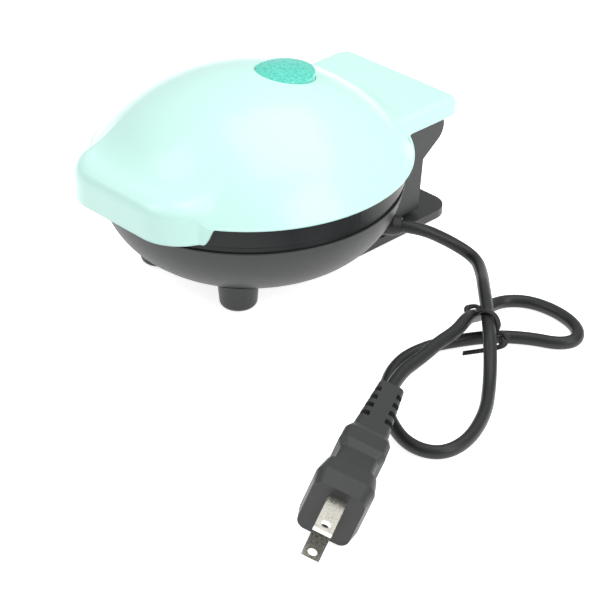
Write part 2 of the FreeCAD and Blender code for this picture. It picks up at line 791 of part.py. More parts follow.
def lamp_leads():
    """Two leads from the lamp to the pins of the upper element."""
    low = (PARTING + s.lens_foot - s.holder_wall - s.lamp_length / 2).value
    radius = s.lamp_wire_radius.value
    height = wire_height(1).value
    drop = radius * 3
    solids = []
    for side, (x, y) in zip((-1, 1), element_ends()):
        lamp = Vector(s.lens_x.value + side * s.lamp_radius.value / 2, s.lens_offset.value, low)
        below = lamp - Vector(0, 0, drop)
        end = Vector(x.value, y.value, height)
        rising = (below + end) / 2 - Vector(0, 0, radius)
        shape, _, _ = tube([lamp, below, rising, end], radius)
        solids.append(fuse([set_shape("Lead", shape), sleeve(1, x, y)]))
    finish(group(solids), "lamp_leads")


# ---- hinge ---------------------------------------------------------------------------------------------


def across(outline, left, right):
    """Pad a side outline, given as (y, z), between two places along X."""
    body = new_body("SidePiece")
    sketch = new_sketch(body, "YZ_Plane", left)
    draw(sketch, outline)
    pad = body.newObject("PartDesign::Pad", "Pad")
    pad.Profile = sketch
    bind(pad, "Length", wrap(right) - left)
    return body


def bracket_screw_places():
    places = []
    for x in (-s.bracket_screw_x, s.bracket_screw_x):
        for y in (s.bracket_screw_front, s.bracket_screw_rear):
            places.append((x, y))
    return places


def hinge_bracket():
    """Plate screwed under the rear tab, with two ears that turn on the hinge pin."""
    top = PARTING + s.bracket_seat
    low = top - s.bracket_plate
    end = s.ear_end_radius
    plate = box((-s.ear_outer, s.bracket_front, low), (s.ear_outer, s.bracket_rear, top))
    solids = [plate]
    for left, right in ((-s.ear_outer, -s.ear_inner), (s.ear_inner, s.ear_outer)):
        solids.append(box((left, s.hinge_y - end, HINGE_Z), (right, s.hinge_y + end, low)))
        solids.append(cylinder_across(end, left, right, s.hinge_y, HINGE_Z))
    bore = s.pin_hole_radius + s.running_gap
    tools = [cylinder_across(bore, -s.ear_outer, s.ear_outer, s.hinge_y, HINGE_Z)]
    tools += [hole(x, y, low, top) for x, y in bracket_screw_places()]
    finish(cut(fuse(solids), tools), "lid_hinge_bracket")


def bracket_screws():
    seat = PARTING + s.bracket_seat - s.bracket_plate
    length = s.bracket_plate + s.bracket_thread
    screws = [screw(x, y, seat, length, 1) for x, y in bracket_screw_places()]
    finish(group(screws), "hinge_bracket_screws")


def hinge_pin():
    reach = s.column_half - s.blind_skin
    pin = cylinder_across(s.pin_hole_radius, -reach, reach, s.hinge_y, HINGE_Z)
    finish(group([pin]), "hinge_pin")


# ---- base ----------------------------------------------------------------------------------------------------


def bowl_body(inset, rim):
    """The bowl as a filled solid: flat in the middle, then a quarter-round wall up to the rim."""
    depth = PARTING - s.web_depth - s.bowl_floor
    width = s.bowl_radius - s.bowl_flat_radius
    curve = (width * width + depth * depth) / (depth * 2)
    radius = curve - inset
    rim_drop = s.bowl_floor + curve - rim
    edge = s.bowl_flat_radius + root(radius * radius - rim_drop * rim_drop)
    low = s.bowl_floor + inset
    body = new_body("Bowl")
    turned(body, [(0, low), (s.bowl_flat_radius, low), (edge, rim, radius, 1), (0, rim)])
    return body


def outlet_rotation():
    """Turns a piece drawn along Z so that it points outwards at the cord outlet."""
    turn = math.radians(s.outlet_angle.value)
    return FreeCAD.Rotation(Vector(0, 0, 1), Vector(math.cos(turn), math.sin(turn), 0))


def outward(thing, distance):
    """Place a piece drawn along Z at a distance from the plate axis, pointing out of the outlet."""
    thing.Placement.Rotation = outlet_rotation()
    x = wrap(distance) * cosine(s.outlet_angle)
    y = wrap(distance) * sine(s.outlet_angle)
    return move(thing, x, y, s.outlet_height)


def base_shell():
    rim = PARTING - s.web_depth
    shell = cut(bowl_body(wrap(0), rim), [bowl_body(s.bowl_wall, rim)])
    posts = []
    holes = []
    for x, y in ring_points(s.ring_screw_radius, BASE_SCREW_ANGLES):
        posts.append(cylinder(s.boss_radius, s.base_boss, x, y, rim - s.base_boss))
        holes.append(hole(x, y, rim - s.base_thread_depth, rim))
    for x, y in stand_screw_places()[:2] + foot_places():
        posts.append(cylinder(s.boss_radius, s.inner_boss, x, y, s.bowl_floor))
        holes.append(hole(x, y, 0, s.bowl_floor + s.inner_boss))
    posts.append(outward(cylinder(s.gland_flange_radius, s.outlet_cut), s.gland_seat))
    inside = common(fuse(posts), bowl_body(s.bowl_wall / 2, rim))
    outlet = outward(cylinder(s.outlet_hole, s.outlet_cut), s.gland_seat - s.gland_flange)
    spot_face = outward(cylinder(s.gland_flange_radius, s.gland_flange), s.gland_seat - s.gland_flange)
    finish(cut(fuse([shell, inside]), holes + [outlet, spot_face]), "base_shell")


def bowl_space():
    """The bowl's outside with a small gap, cut out of what fits against it."""
    return bowl_body(-s.seat_gap, PARTING - s.web_depth)


def foot_places():
    return [(-s.foot_x, -s.foot_y), (s.foot_x, -s.foot_y)]


def front_feet():
    """Two stubby front feet with a rounded bottom edge, fitted to the bowl's underside."""
    for (x, y), hand in zip(foot_places(), ("left", "right")):
        body = new_body("Foot")
        low = s.pad_thickness
        bend = s.foot_round
        turned(body, [
            (0, low), (s.foot_bottom_radius - bend, low), (s.foot_bottom_radius, low + bend, bend, 1),
            (s.foot_radius, s.foot_top), (0, s.foot_top),
        ])
        move(body, x, y, 0)
        tools = [bowl_space(), hole(x, y, low, s.foot_top)]
        tools.append(cylinder(s.screw_head_radius + s.lens_gap, s.screw_sink, x, y, low))
        finish(cut(body, tools), f"front_foot_{hand}")


def stand_screw_places():
    """Two screws into the bowl and two into the column."""
    places = []
    for y in (s.stand_screw_front, s.stand_screw_rear):
        for x in (-s.stand_screw_x, s.stand_screw_x):
            places.append((x, y))
    return places


def rear_stand():
    """Flat foot behind the bowl, on which the appliance also stands upright in a cupboard."""
    low = s.pad_thickness
    top = low + s.stand_thickness
    half, bend = s.stand_half, s.stand_corner
    body = new_body("Stand")
    raised(body, [
        (-half, s.stand_front), (half, s.stand_front), (half, s.stand_rear - bend),
        (half - bend, s.stand_rear, bend, 1), (-(half - bend), s.stand_rear),
        (-half, s.stand_rear - bend, bend, 1),
    ], low, top)
    solids = [body]
    plinth = s.column_half - s.cheek_thickness
    solids.append(box((-plinth, s.plinth_front, top), (plinth, s.plinth_rear, top + s.column_reveal)))
    for x, y in stand_screw_places()[:2]:
        solids.append(cylinder(s.boss_radius, s.inner_boss, x, y, top))
    tools = [bowl_space()]
    for x, y in stand_screw_places():
        tools.append(hole(x, y, low, s.bowl_floor + s.inner_boss))
        tools.append(cylinder(s.screw_head_radius + s.lens_gap, s.screw_sink, x, y, low))
    finish(cut(fuse(solids), tools), "rear_stand")


def rear_column():
    """Hollow post behind the bowl whose two cheeks carry the hinge pin."""
    low = s.pad_thickness + s.stand_thickness + s.column_reveal
    floor = low + s.web_wall
    web = s.column_heel - s.web_wall
    barrel = s.barrel_radius
    rear_turn = wrap(60)
    outline = [
        (s.column_root, low), (s.column_heel, low), (s.neck_y, s.neck_z),
        (s.hinge_y + barrel * cosine(rear_turn), HINGE_Z - barrel * sine(rear_turn)),
        (s.hinge_y, HINGE_Z + barrel, barrel, 1),
        (s.shoulder_y, HINGE_Z + barrel), (s.brow_y, s.brow_z), (s.chin_y, s.chin_z),
        (s.column_root, s.chin_z),
    ]
    beyond = s.stand_rear + barrel
    above = HINGE_Z + barrel * 2
    within = s.column_root - s.web_wall
    hollow = [
        (within, floor), (web, floor), (web + (s.neck_y - s.column_heel), s.neck_z), (beyond, s.neck_z),
        (beyond, above), (within, above),
    ]
    inner = s.column_half - s.cheek_thickness
    reach = s.column_half - s.blind_skin
    post_ = across(outline, -s.column_half, s.column_half)
    tools = [
        across(hollow, -inner, inner),
        cylinder_across(s.pin_hole_radius, -reach, reach, s.hinge_y, HINGE_Z),
        bowl_space(),
    ]
    tools += [hole(x, y, low, floor) for x, y in stand_screw_places()[2:]]
    finish(cut(post_, tools), "rear_column")


def stand_screws():
    seat = s.pad_thickness + s.screw_sink
    screws = []
    for x, y in stand_screw_places()[:2] + foot_places():
        screws.append(screw(x, y, seat, s.bowl_floor + s.inner_boss - seat - s.screw_slot, 1))
    column_floor = s.pad_thickness + s.stand_thickness + s.column_reveal + s.web_wall
    for x, y in stand_screw_places()[2:]:
        screws.append(screw(x, y, seat, column_floor - seat, 1))
    finish(group(screws), "stand_screws")


def foot_pads():
    """Rubber pads under the front feet and the stand."""
    pads = [cylinder(s.pad_radius, s.pad_thickness, x, y) for x, y in foot_places()]
    for x in (-s.pad_x, s.pad_x):
        for y in (s.pad_front, s.pad_rear):
            pads.append(cylinder(s.pad_radius, s.pad_thickness, x, y))
    finish(group(pads), "foot_pads")


# ---- cord, its outlet and its plug ----------------------------------------------------------------------------


def cord_gland():
    """Strain relief: a flange inside the bowl, a barrel in the hole and a tapered nose."""
    flange_low = s.gland_seat - s.gland_flange
    solids = [
        outward(cylinder(s.gland_flange_radius, s.gland_flange), flange_low),
        outward(cylinder(s.outlet_hole, s.gland_barrel - s.gland_seat), s.gland_seat),
        outward(cone(s.outlet_hole, s.gland_tip_radius, s.gland_tip - s.gland_barrel), s.gland_barrel),
    ]
    bore = outward(cylinder(s.cord_radius, s.gland_tip - flange_low), flange_low)
    finish(cut(fuse(solids), [bore]), "cord_gland")


def along_outlet(distance, offset=0.0):
    """A point on the outlet's axis, in the row frame, moved sideways by an offset."""
    turn = math.radians(s.outlet_angle.value)
    x = distance * math.cos(turn) - offset * math.sin(turn)
    y = distance * math.sin(turn) + offset * math.cos(turn)
    return Vector(x, y + AXIS_Y.value, s.outlet_height.value)


# The route of the cord over the table, chosen by hand, from its outlet to its plug.
CORD_ROUTE = [
    (60.2, 40.9, 12.6), (70.6, 45.2, 7.5), (82.9, 34.8, 9.5), (93.0, 24.3, 12.6),
    (106.2, 11.6, 12.8), (117.3, 0.2, 12.4), (122.5, -4.8, 7.5), (130.1, -13.5, 2.6),
    (140.9, -28.0, 2.6), (147.7, -45.1, 2.6), (145.8, -57.3, 2.6), (134.2, -61.0, 2.6),
    (118.2, -54.0, 2.6), (103.9, -41.1, 2.6), (95.6, -25.2, 2.6), (96.1, -10.3, 2.6),
    (101.6, 1.8, 2.6), (108.8, 13.3, 2.6), (119.0, 21.8, 2.6), (129.3, 26.6, 2.6),
    (132.2, 33.9, 2.6), (125.8, 40.8, 2.6), (112.9, 43.7, 2.6), (100.0, 41.2, 2.6),
    (92.6, 32.0, 2.6), (98.6, 15.5, 6.0), (102.6, 5.0, 12.2), (106.9, -6.1, 12.5),
    (108.0, -17.6, 12.8), (110.6, -28.2, 13.0),
]


def plug_entry():
    return Vector(s.plug_x.value, s.plug_y.value, s.plug_height.value)


def cord_points():
    """The whole route: straight out of the gland, over the table, and straight into the plug."""
    heading = plug_placement().Rotation.multVec(Vector(1, 0, 0))
    inside = s.gland_tip.value - s.cord_inside.value
    outside = s.gland_tip.value + s.cord_run_out.value
    last_corner = plug_entry() - heading * s.cord_run_in.value
    return [along_outlet(inside), along_outlet(outside)] + CORD_ROUTE + [last_corner, plug_entry()]


def power_cord():
    shape, wire, radii = tube(cord_points(), s.cord_radius.value)
    expected = math.pi * s.cord_radius.value ** 2 * wire.Length
    print("cord length", round(wire.Length, 1), "radii", [round(r, 1) for r in radii])
    print("cord volume over section times length", round(shape.Volume / expected, 4))
    cord = set_shape("Cord", shape)
    cord.Label = "power_cord"
    SUBPARTS.append(cord)


def plug_placement():
    turn = FreeCAD.Rotation(s.plug_yaw.value, 0, s.plug_roll.value)
    return FreeCAD.Placement(plug_entry(), turn)


def rounded_section(x, half_width, half_height, corner):
    """A rounded rectangle across the plug's axis."""
    plane = Part.Plane(Vector(x, 0, 0), Vector(1, 0, 0))
    pieces = []
    sides = []
    quarter = math.pi / 2
    centres = [(1, 1, 0), (-1, 1, 1), (-1, -1, 2), (1, -1, 3)]
    for sign_y, sign_z, turn in centres:
        centre = Vector(x, sign_y * (half_width - corner), sign_z * (half_height - corner))
        steps = [turn * quarter, (turn + 0.5) * quarter, (turn + 1) * quarter]
        points = [centre + Vector(0, corner * math.cos(a), corner * math.sin(a)) for a in steps]
        pieces.append(points)
    for i, points in enumerate(pieces):
        sides.append(Part.Arc(*points).toShape())
        sides.append(Part.LineSegment(points[2], pieces[(i + 1) % 4][0]).toShape())
    return Part.Wire(sides)


# Plug sections along its axis: distance, half width, half height and corner radius.
PLUG_SECTIONS = [
    [(0, 4.7, 4.3, 1.8), (33, 6.7, 6.5, 2.4)],
    [(32, 7.3, 7.1, 2.6), (36, 8.3, 8.8, 3.0), (43, 8.5, 9.0, 3.0), (46, 6.9, 7.7, 2.6)],
    [(46, 6.9, 7.7, 2.6), (58, 7.4, 8.3, 2.8)],
    [(57, 9.0, 10.2, 3.4), (65, 10.3, 11.6, 3.8), (72, 9.2, 10.4, 3.4)],
]


def blade_solid():
    """One blade in the plug's own frame, on its axis."""
    width = s.blade_width.value
    thick = s.blade_thickness.value
    length = s.plug_length.value
    root_ = s.blade_root.value
    low = Vector(length - root_, -width / 2, -thick / 2)
    return Part.makeBox(root_ + s.blade_length.value, width, thick, low)


def blade_pair():
    half = s.blade_spacing.value / 2
    blades = []
    for sign in (-1, 1):
        blade = blade_solid()
        blade.translate(Vector(0, 0, sign * half))
        blades.append(blade)
    return blades


def plug_body():
    """Moulded plug: slotted strain relief, collar, waist and a flange round the blades."""
    solids = []
    for sections in PLUG_SECTIONS:
        solids.append(Part.makeLoft([rounded_section(*section_) for section_ in sections], True, True))
    shape = solids[0].multiFuse(solids[1:])
    for step in range(4):
        x = s.slot_start.value + step * s.slot_pitch.value
        for sign in (-1, 1):
            outer = s.slot_reach.value
            low_y = s.slot_core.value if sign > 0 else -outer
            tool = Part.makeBox(s.slot_width.value, outer - s.slot_core.value, 2 * outer,
                                Vector(x, low_y, -outer))
            shape = shape.cut(tool)
    for blade in blade_pair():
        shape = shape.cut(blade)
    plug = set_shape("Plug", shape)
    plug.Placement = plug_placement()
    plug.Label = "plug_body"
    SUBPARTS.append(plug)


def plug_blades():
    blades = []
    for blade in blade_pair():
        x = s.plug_length.value + s.blade_length.value - 2 * s.blade_hole.value
        tall = s.blade_spacing.value
        bore = Part.makeCylinder(s.blade_hole.value, 2 * tall, Vector(x, 0, -tall))
        blades.append(blade.cut(bore))
    pair = set_shape("Blades", Part.Compound(blades))
    pair.Placement = plug_placement()
    pair.Label = "plug_blades"
    SUBPARTS.append(pair)


def cord_tie():
    """Band round the cord where the loop is gathered."""
    first, second = (Vector(*CORD_ROUTE[i]) for i in (4, 5))
    middle = (first + second) / 2
    along = (second - first).normalize()
    start = middle - along * (s.tie_width.value / 2)
    inner = s.cord_radius.value + s.lens_gap.value
    outer = inner + s.tie_thickness.value
    band = Part.makeCylinder(outer, s.tie_width.value, start, along)
    band = band.cut(Part.makeCylinder(inner, s.tie_width.value, start, along))
    tie = set_shape("Tie", band)
    tie.Label = "cord_tie"
    SUBPARTS.append(tie)


def base_wiring():
    """The cord's end inside the gland and its two cores, each run to one of the element's pins."""
    inner = s.gland_seat.value - s.gland_flange.value
    outer = s.gland_tip.value - s.cord_inside.value
    plate_axis = Vector(0, AXIS_Y.value, 0)
    start = along_outlet(inner) - plate_axis
    out = along_outlet(outer) - along_outlet(inner)
    tail = Part.makeCylinder(s.cord_radius.value, out.Length, start, out)
    radius = s.wire_radius.value
    height = wire_height(-1).value
    solids = [set_shape("Tail", tail)]
    for sign, (x, y) in zip((-1, 1), element_ends()):
        offset = sign * radius * 1.2
        leave = along_outlet(inner, offset) - plate_axis
        shoulder = along_outlet(inner - 2.5, offset) - plate_axis - Vector(0, 0, 0.6)
        foot = along_outlet(inner - 4.2, offset) - plate_axis
        foot.z = height + radius / 2
        end = Vector(x.value, y.value, height)
        shape, _, _ = tube([leave, shoulder, foot, end], radius)
        solids.append(set_shape("Core", shape))
        solids.append(sleeve(-1, x, y))
    finish(fuse(solids), "base_wiring")


# ---- build, check and write ----------------------------------------------------------------------------------------


def build():
    lid_cover()
    cooking_half(1, "upper")
    indicator_lens()
    lamp_holder()
    indicator_lamp()
    lamp_leads()
    hinge_bracket()
    bracket_screws()
    base_shell()
    cooking_half(-1, "lower")
    thermostat(-1, "thermostat")
    thermostat_bracket(-1, "thermostat_bracket")
    thermostat(1, "thermal_cutout")
    thermostat_bracket(1, "cutout_bracket")
    rear_column()
    hinge_pin()
    rear_stand()
    front_feet()
    stand_screws()
    foot_pads()
    cord_gland()
    base_wiring()
    power_cord()
    plug_body()
    plug_blades()
    cord_tie()
    doc.recompute()


def check():
    """Stop before writing if an object failed or a sub-part has no sound solid."""
    failed = [o.Name for o in doc.Objects if "Invalid" in o.State or "Error" in o.State]
    if failed:
        raise RuntimeError(f"failed objects: {failed}")
    for part in SUBPARTS:
        if part.Shape.isNull() or not part.Shape.isValid() or not part.Shape.Solids:
            raise RuntimeError(f"unsound sub-part: {part.Label}")


def write():
    os.makedirs("parts", exist_ok=True)
    for part in SUBPARTS:
        part.Shape.exportStep(f"parts/{part.Label}.step")
        print(part.Label, len(part.Shape.Solids), round(part.Shape.Volume, 1))


build()
check()
write()
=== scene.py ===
# Mini waffle maker: looks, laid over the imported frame. Metres; -Y is the front handle, +Z is up.
import json
import math

import bpy
import numpy as np
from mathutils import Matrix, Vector


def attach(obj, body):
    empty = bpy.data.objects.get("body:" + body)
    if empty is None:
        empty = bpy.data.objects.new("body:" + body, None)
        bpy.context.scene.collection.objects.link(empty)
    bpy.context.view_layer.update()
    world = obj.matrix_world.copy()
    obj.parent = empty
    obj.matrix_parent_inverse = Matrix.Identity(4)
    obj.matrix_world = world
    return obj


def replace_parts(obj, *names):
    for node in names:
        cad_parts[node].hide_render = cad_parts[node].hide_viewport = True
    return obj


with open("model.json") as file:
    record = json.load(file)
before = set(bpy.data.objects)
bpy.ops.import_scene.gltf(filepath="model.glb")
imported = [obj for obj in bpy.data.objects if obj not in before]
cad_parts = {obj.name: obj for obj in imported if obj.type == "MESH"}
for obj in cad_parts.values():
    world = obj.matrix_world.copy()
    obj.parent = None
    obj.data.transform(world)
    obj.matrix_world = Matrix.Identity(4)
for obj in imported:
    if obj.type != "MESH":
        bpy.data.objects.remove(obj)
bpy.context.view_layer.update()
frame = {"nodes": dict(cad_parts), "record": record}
nodes = frame["nodes"]
scene = bpy.context.scene

MM = 0.001
AXIS_Y = -9.25          # plate axis, mm
PARTING = 39.0          # plane between lid and base, mm


# ---- camera ---------------------------------------------------------------------------------


def add_camera():
    """A long lens, three quarters from the front right, a little over the lid."""
    data = bpy.data.cameras.new("camera")
    data.lens = 121.62
    data.sensor_width = 36.0
    data.clip_end = 20.0
    camera = bpy.data.objects.new("camera", data)
    scene.collection.objects.link(camera)
    forward = Vector((-0.61522, 0.59126, -0.52146))
    camera.rotation_euler = forward.to_track_quat("-Z", "Y").to_euler()
    camera.location = (0.51930, -0.48205, 0.40906)
    scene.camera = camera


# ---- mesh helpers ---------------------------------------------------------------------------


def new_piece(name, points, faces, body, material):
    """A mesh from an array of points in millimetres and lists of corner numbers."""
    mesh = bpy.data.meshes.new(name)
    mesh.from_pydata((np.asarray(points) * MM).tolist(), [], [list(map(int, f)) for f in faces])
    mesh.validate()
    mesh.materials.append(material)
    piece = bpy.data.objects.new(name, mesh)
    scene.collection.objects.link(piece)
    mesh.shade_smooth()
    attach(piece, body)
    return piece


def grid_faces(rows, columns, wrap_rows=False, wrap_columns=False):
    """Quads between the points of a grid that is stored row by row."""
    row_count = rows if wrap_rows else rows - 1
    column_count = columns if wrap_columns else columns - 1
    i, j = np.meshgrid(np.arange(row_count), np.arange(column_count), indexing="ij")
    i, j = i.ravel(), j.ravel()
    i2, j2 = (i + 1) % rows, (j + 1) % columns
    return np.stack([i * columns + j, i * columns + j2, i2 * columns + j2, i2 * columns + j], axis=1)


def capped(faces, rows, columns):
    """The faces of a tube of rings, with one more over its first and its last ring."""
    last = (rows - 1) * columns
    return faces.tolist() + [list(range(columns)), list(range(last, last + columns))[::-1]]


def turned_points(profile, segments):
    """Every point of a (radius, height) profile carried round the Z axis."""
    profile = np.asarray(profile, float)
    turn = np.linspace(0, 2 * np.pi, segments, endpoint=False)
    x = profile[:, 0, None] * np.cos(turn)
    y = profile[:, 0, None] * np.sin(turn)
    z = np.repeat(profile[:, 1, None], segments, axis=1)
    return np.stack([x, y, z], axis=-1).reshape(-1, 3)


# ---- shader helpers -------------------------------------------------------------------------


def link(tree, output, socket):
    """Join a node's output to another node's input."""
    tree.links.new(output, socket)


def feed(tree, value, socket):
    """Join an output to a socket, or put a plain value on it."""
    if hasattr(value, "links"):
        link(tree, value, socket)
    else:
        socket.default_value = value


def effect(name, inputs, outputs):
    """An empty node group with named inputs (name, kind, value) and outputs (name, kind)."""
    tree = bpy.data.node_groups.new(name, "ShaderNodeTree")
    for label, kind, value in inputs:
        socket = tree.interface.new_socket(label, in_out="INPUT", socket_type=kind)
        socket.default_value = value
    for label, kind in outputs:
        tree.interface.new_socket(label, in_out="OUTPUT", socket_type=kind)
    enter = tree.nodes.new("NodeGroupInput")
    leave = tree.nodes.new("NodeGroupOutput")
    return tree, enter, leave


def add(tree, kind, **settings):
    """A new node with its settings."""
    node = tree.nodes.new(kind)
    for key, value in settings.items():
        setattr(node, key, value)
    return node


def noise(tree, vector, scale, detail=3.0, rough=0.5):
    """Soft noise between 0 and 1; a larger scale is a finer pattern."""
    node = add(tree, "ShaderNodeTexNoise")
    link(tree, vector, node.inputs["Vector"])
    feed(tree, scale, node.inputs["Scale"])
    node.inputs["Detail"].default_value = detail
    node.inputs["Roughness"].default_value = rough
    return node.outputs["Fac"]


def math_node(tree, operation, a, b):
    """Two values, or a value and a number, put through one sum."""
    node = add(tree, "ShaderNodeMath", operation=operation)
    for socket, value in zip(node.inputs, (a, b)):
        feed(tree, value, socket)
    return node.outputs[0]


def remap(tree, value, low, high, to_low, to_high):
    """Carry the stretch from low to high over to another stretch, clipped at its ends."""
    node = add(tree, "ShaderNodeMapRange")
    link(tree, value, node.inputs["Value"])
    for name, number in (("From Min", low), ("From Max", high), ("To Min", to_low), ("To Max", to_high)):
        node.inputs[name].default_value = number
    return node.outputs["Result"]


def mixed(tree, factor, first, second):
    """A colour between two others; each is three numbers or another node's colour."""
    node = add(tree, "ShaderNodeMix", data_type="RGBA")
    link(tree, factor, node.inputs["Factor"])
    for socket, colour in ((node.inputs[6], first), (node.inputs[7], second)):
        feed(tree, colour if hasattr(colour, "links") else (*colour, 1.0), socket)
    return node.outputs[2]


def moulded_group():
    """Moulded plastic: slow tone drift, faint scuffs and a fine pebbled grain.

    Tone = noise of a few centimetres; scuff = noise above a threshold; height = fine grain."""
    tree, enter, leave = effect(
        "moulded_plastic",
        [("Vector", "NodeSocketVector", (0, 0, 0)), ("Grain", "NodeSocketFloat", 2500.0),
         ("Smooth", "NodeSocketFloat", 0.4), ("Spread", "NodeSocketFloat", 0.06)],
        [("Tone", "NodeSocketFloat"), ("Roughness", "NodeSocketFloat"), ("Height", "NodeSocketFloat")],
    )
    vector = enter.outputs["Vector"]
    drift = noise(tree, vector, 28.0, 2.0)
    fine = noise(tree, vector, enter.outputs["Grain"], 2.0, 0.6)
    scuff = remap(tree, noise(tree, vector, 160.0, 6.0, 0.7), 0.55, 0.75, 0.0, 1.0)
    spread = enter.outputs["Spread"]
    rough = math_node(tree, "ADD", enter.outputs["Smooth"], math_node(tree, "MULTIPLY", spread, scuff))
    uneven = math_node(tree, "MULTIPLY", spread, drift)
    link(tree, drift, leave.inputs["Tone"])
    link(tree, math_node(tree, "ADD", rough, uneven), leave.inputs["Roughness"])
    link(tree, fine, leave.inputs["Height"])
    return tree


def drawn_group():
    """Worked metal: long fine scratches along X and a slow tarnish."""
    tree, enter, leave = effect(
        "worked_metal",
        [("Vector", "NodeSocketVector", (0, 0, 0)), ("Smooth", "NodeSocketFloat", 0.3)],
        [("Tarnish", "NodeSocketFloat"), ("Roughness", "NodeSocketFloat"), ("Height", "NodeSocketFloat")],
    )
    stretch = add(tree, "ShaderNodeVectorMath", operation="MULTIPLY")
    link(tree, enter.outputs["Vector"], stretch.inputs[0])
    stretch.inputs[1].default_value = (120.0, 2600.0, 2600.0)
    lines = noise(tree, stretch.outputs[0], 1.0, 3.0, 0.6)
    tarnish = noise(tree, enter.outputs["Vector"], 90.0, 4.0, 0.6)
    rough = math_node(tree, "ADD", enter.outputs["Smooth"], remap(tree, lines, 0.3, 0.7, -0.05, 0.1))
    link(tree, tarnish, leave.inputs["Tarnish"])
    link(tree, rough, leave.inputs["Roughness"])
    link(tree, lines, leave.inputs["Height"])
    return tree


def new_material(name, plain):
    """A Principled material; plain values go straight on its sockets."""
    material = bpy.data.materials.new(name)
    material.use_nodes = True
    tree = material.node_tree
    shader = tree.nodes["Principled BSDF"]
    for socket, value in plain.items():
        shader.inputs[socket].default_value = value
    where = add(tree, "ShaderNodeTexCoord").outputs["Object"]
    return material, tree, shader, where


def place_effect(tree, effect_tree, where, **values):
    """A shared effect put in a material, fed with coordinates and plain values."""
    group = add(tree, "ShaderNodeGroup", node_tree=effect_tree)
    link(tree, where, group.inputs["Vector"])
    for name, value in values.items():
        group.inputs[name].default_value = value
    return group


def bump(tree, shader, height, distance, strength=1.0):
    """Raise a material's surface by a height between 0 and 1 times the distance in metres."""
    node = add(tree, "ShaderNodeBump")
    node.inputs["Strength"].default_value = strength
    node.inputs["Distance"].default_value = distance
    link(tree, height, node.inputs["Height"])
    link(tree, node.outputs["Normal"], shader.inputs["Normal"])


def plastic(name, dark, light, smooth, spread, grain, depth, **plain):
    """A moulded plastic between two close colours."""
    material, tree, shader, where = new_material(name, plain)
    group = place_effect(tree, MOULDED, where, Grain=grain, Smooth=smooth, Spread=spread)
    link(tree, mixed(tree, group.outputs["Tone"], dark, light), shader.inputs["Base Color"])
    link(tree, group.outputs["Roughness"], shader.inputs["Roughness"])
    bump(tree, shader, group.outputs["Height"], depth)
    return material


def metal(name, dark, light, smooth, depth=0.00002, **plain):
    """A worked metal whose tarnish runs between two colours."""
    material, tree, shader, where = new_material(name, {"Metallic": 1.0, **plain})
    group = place_effect(tree, DRAWN, where, Smooth=smooth)
    link(tree, mixed(tree, group.outputs["Tarnish"], dark, light), shader.inputs["Base Color"])
    link(tree, group.outputs["Roughness"], shader.inputs["Roughness"])
    bump(tree, shader, group.outputs["Height"], depth)
    return material


MOULDED = moulded_group()
DRAWN = drawn_group()

LID = plastic("lid_plastic", (0.60, 0.93, 0.855), (0.635, 0.965, 0.89), 0.27, 0.012, 1400.0, 0.000004,
              **{"Coat Weight": 0.25, "Coat Roughness": 0.12})
BASE = plastic("base_plastic", (0.027, 0.029, 0.029), (0.035, 0.037, 0.037), 0.36, 0.07, 3200.0, 0.00003)
TRIM = plastic("trim_plastic", (0.010, 0.011, 0.012), (0.016, 0.018, 0.019), 0.24, 0.08, 2400.0, 0.000012,
               **{"Specular IOR Level": 0.25})
HOLDER = plastic("holder_plastic", (0.75, 0.75, 0.70), (0.82, 0.82, 0.78), 0.5, 0.08, 2200.0, 0.00002)
PAD = plastic("pad_rubber", (0.035, 0.035, 0.035), (0.05, 0.05, 0.05), 0.7, 0.1, 1800.0, 0.00005)
CORD = plastic("cord_rubber", (0.012, 0.013, 0.013), (0.018, 0.019, 0.019), 0.36, 0.08, 1900.0, 0.00002,
               **{"Specular IOR Level": 0.4})
PLUG = plastic("plug_rubber", (0.024, 0.026, 0.026), (0.032, 0.034, 0.034), 0.42, 0.08, 2600.0, 0.00003)
TIE = plastic("tie_plastic", (0.008, 0.008, 0.008), (0.013, 0.013, 0.013), 0.4, 0.1, 2600.0, 0.00003,
              **{"Specular IOR Level": 0.4})
WIRE = plastic("wire_sleeve", (0.6, 0.58, 0.54), (0.72, 0.7, 0.66), 0.7, 0.1, 1500.0, 0.0001)
STEEL = metal("steel", (0.42, 0.42, 0.43), (0.62, 0.62, 0.63), 0.28)
SHEATH = metal("element_sheath", (0.16, 0.13, 0.11), (0.33, 0.31, 0.30), 0.38)
SHEET = metal("reflector_sheet", (0.72, 0.72, 0.73), (0.85, 0.85, 0.86), 0.2)
BLADE = metal("blade_metal", (0.88, 0.85, 0.75), (0.96, 0.94, 0.87), 0.26)


def coated_plate():
    """Non-stick coating: a dark, faintly pebbled film with sparse light flecks."""
    material, tree, shader, where = new_material("plate_coating", {"Coat Weight": 0.2, "Coat Roughness": 0.3})
    group = place_effect(tree, MOULDED, where, Grain=1500.0, Smooth=0.32, Spread=0.1)
    fleck = remap(tree, noise(tree, where, 1300.0, 1.0), 0.68, 0.74, 0.0, 0.5)
    ground = mixed(tree, group.outputs["Tone"], (0.028, 0.028, 0.030), (0.042, 0.042, 0.044))
    link(tree, mixed(tree, fleck, ground, (0.14, 0.14, 0.145)), shader.inputs["Base Color"])
    link(tree, group.outputs["Roughness"], shader.inputs["Roughness"])
    bump(tree, shader, group.outputs["Height"], 0.00004)
    return material


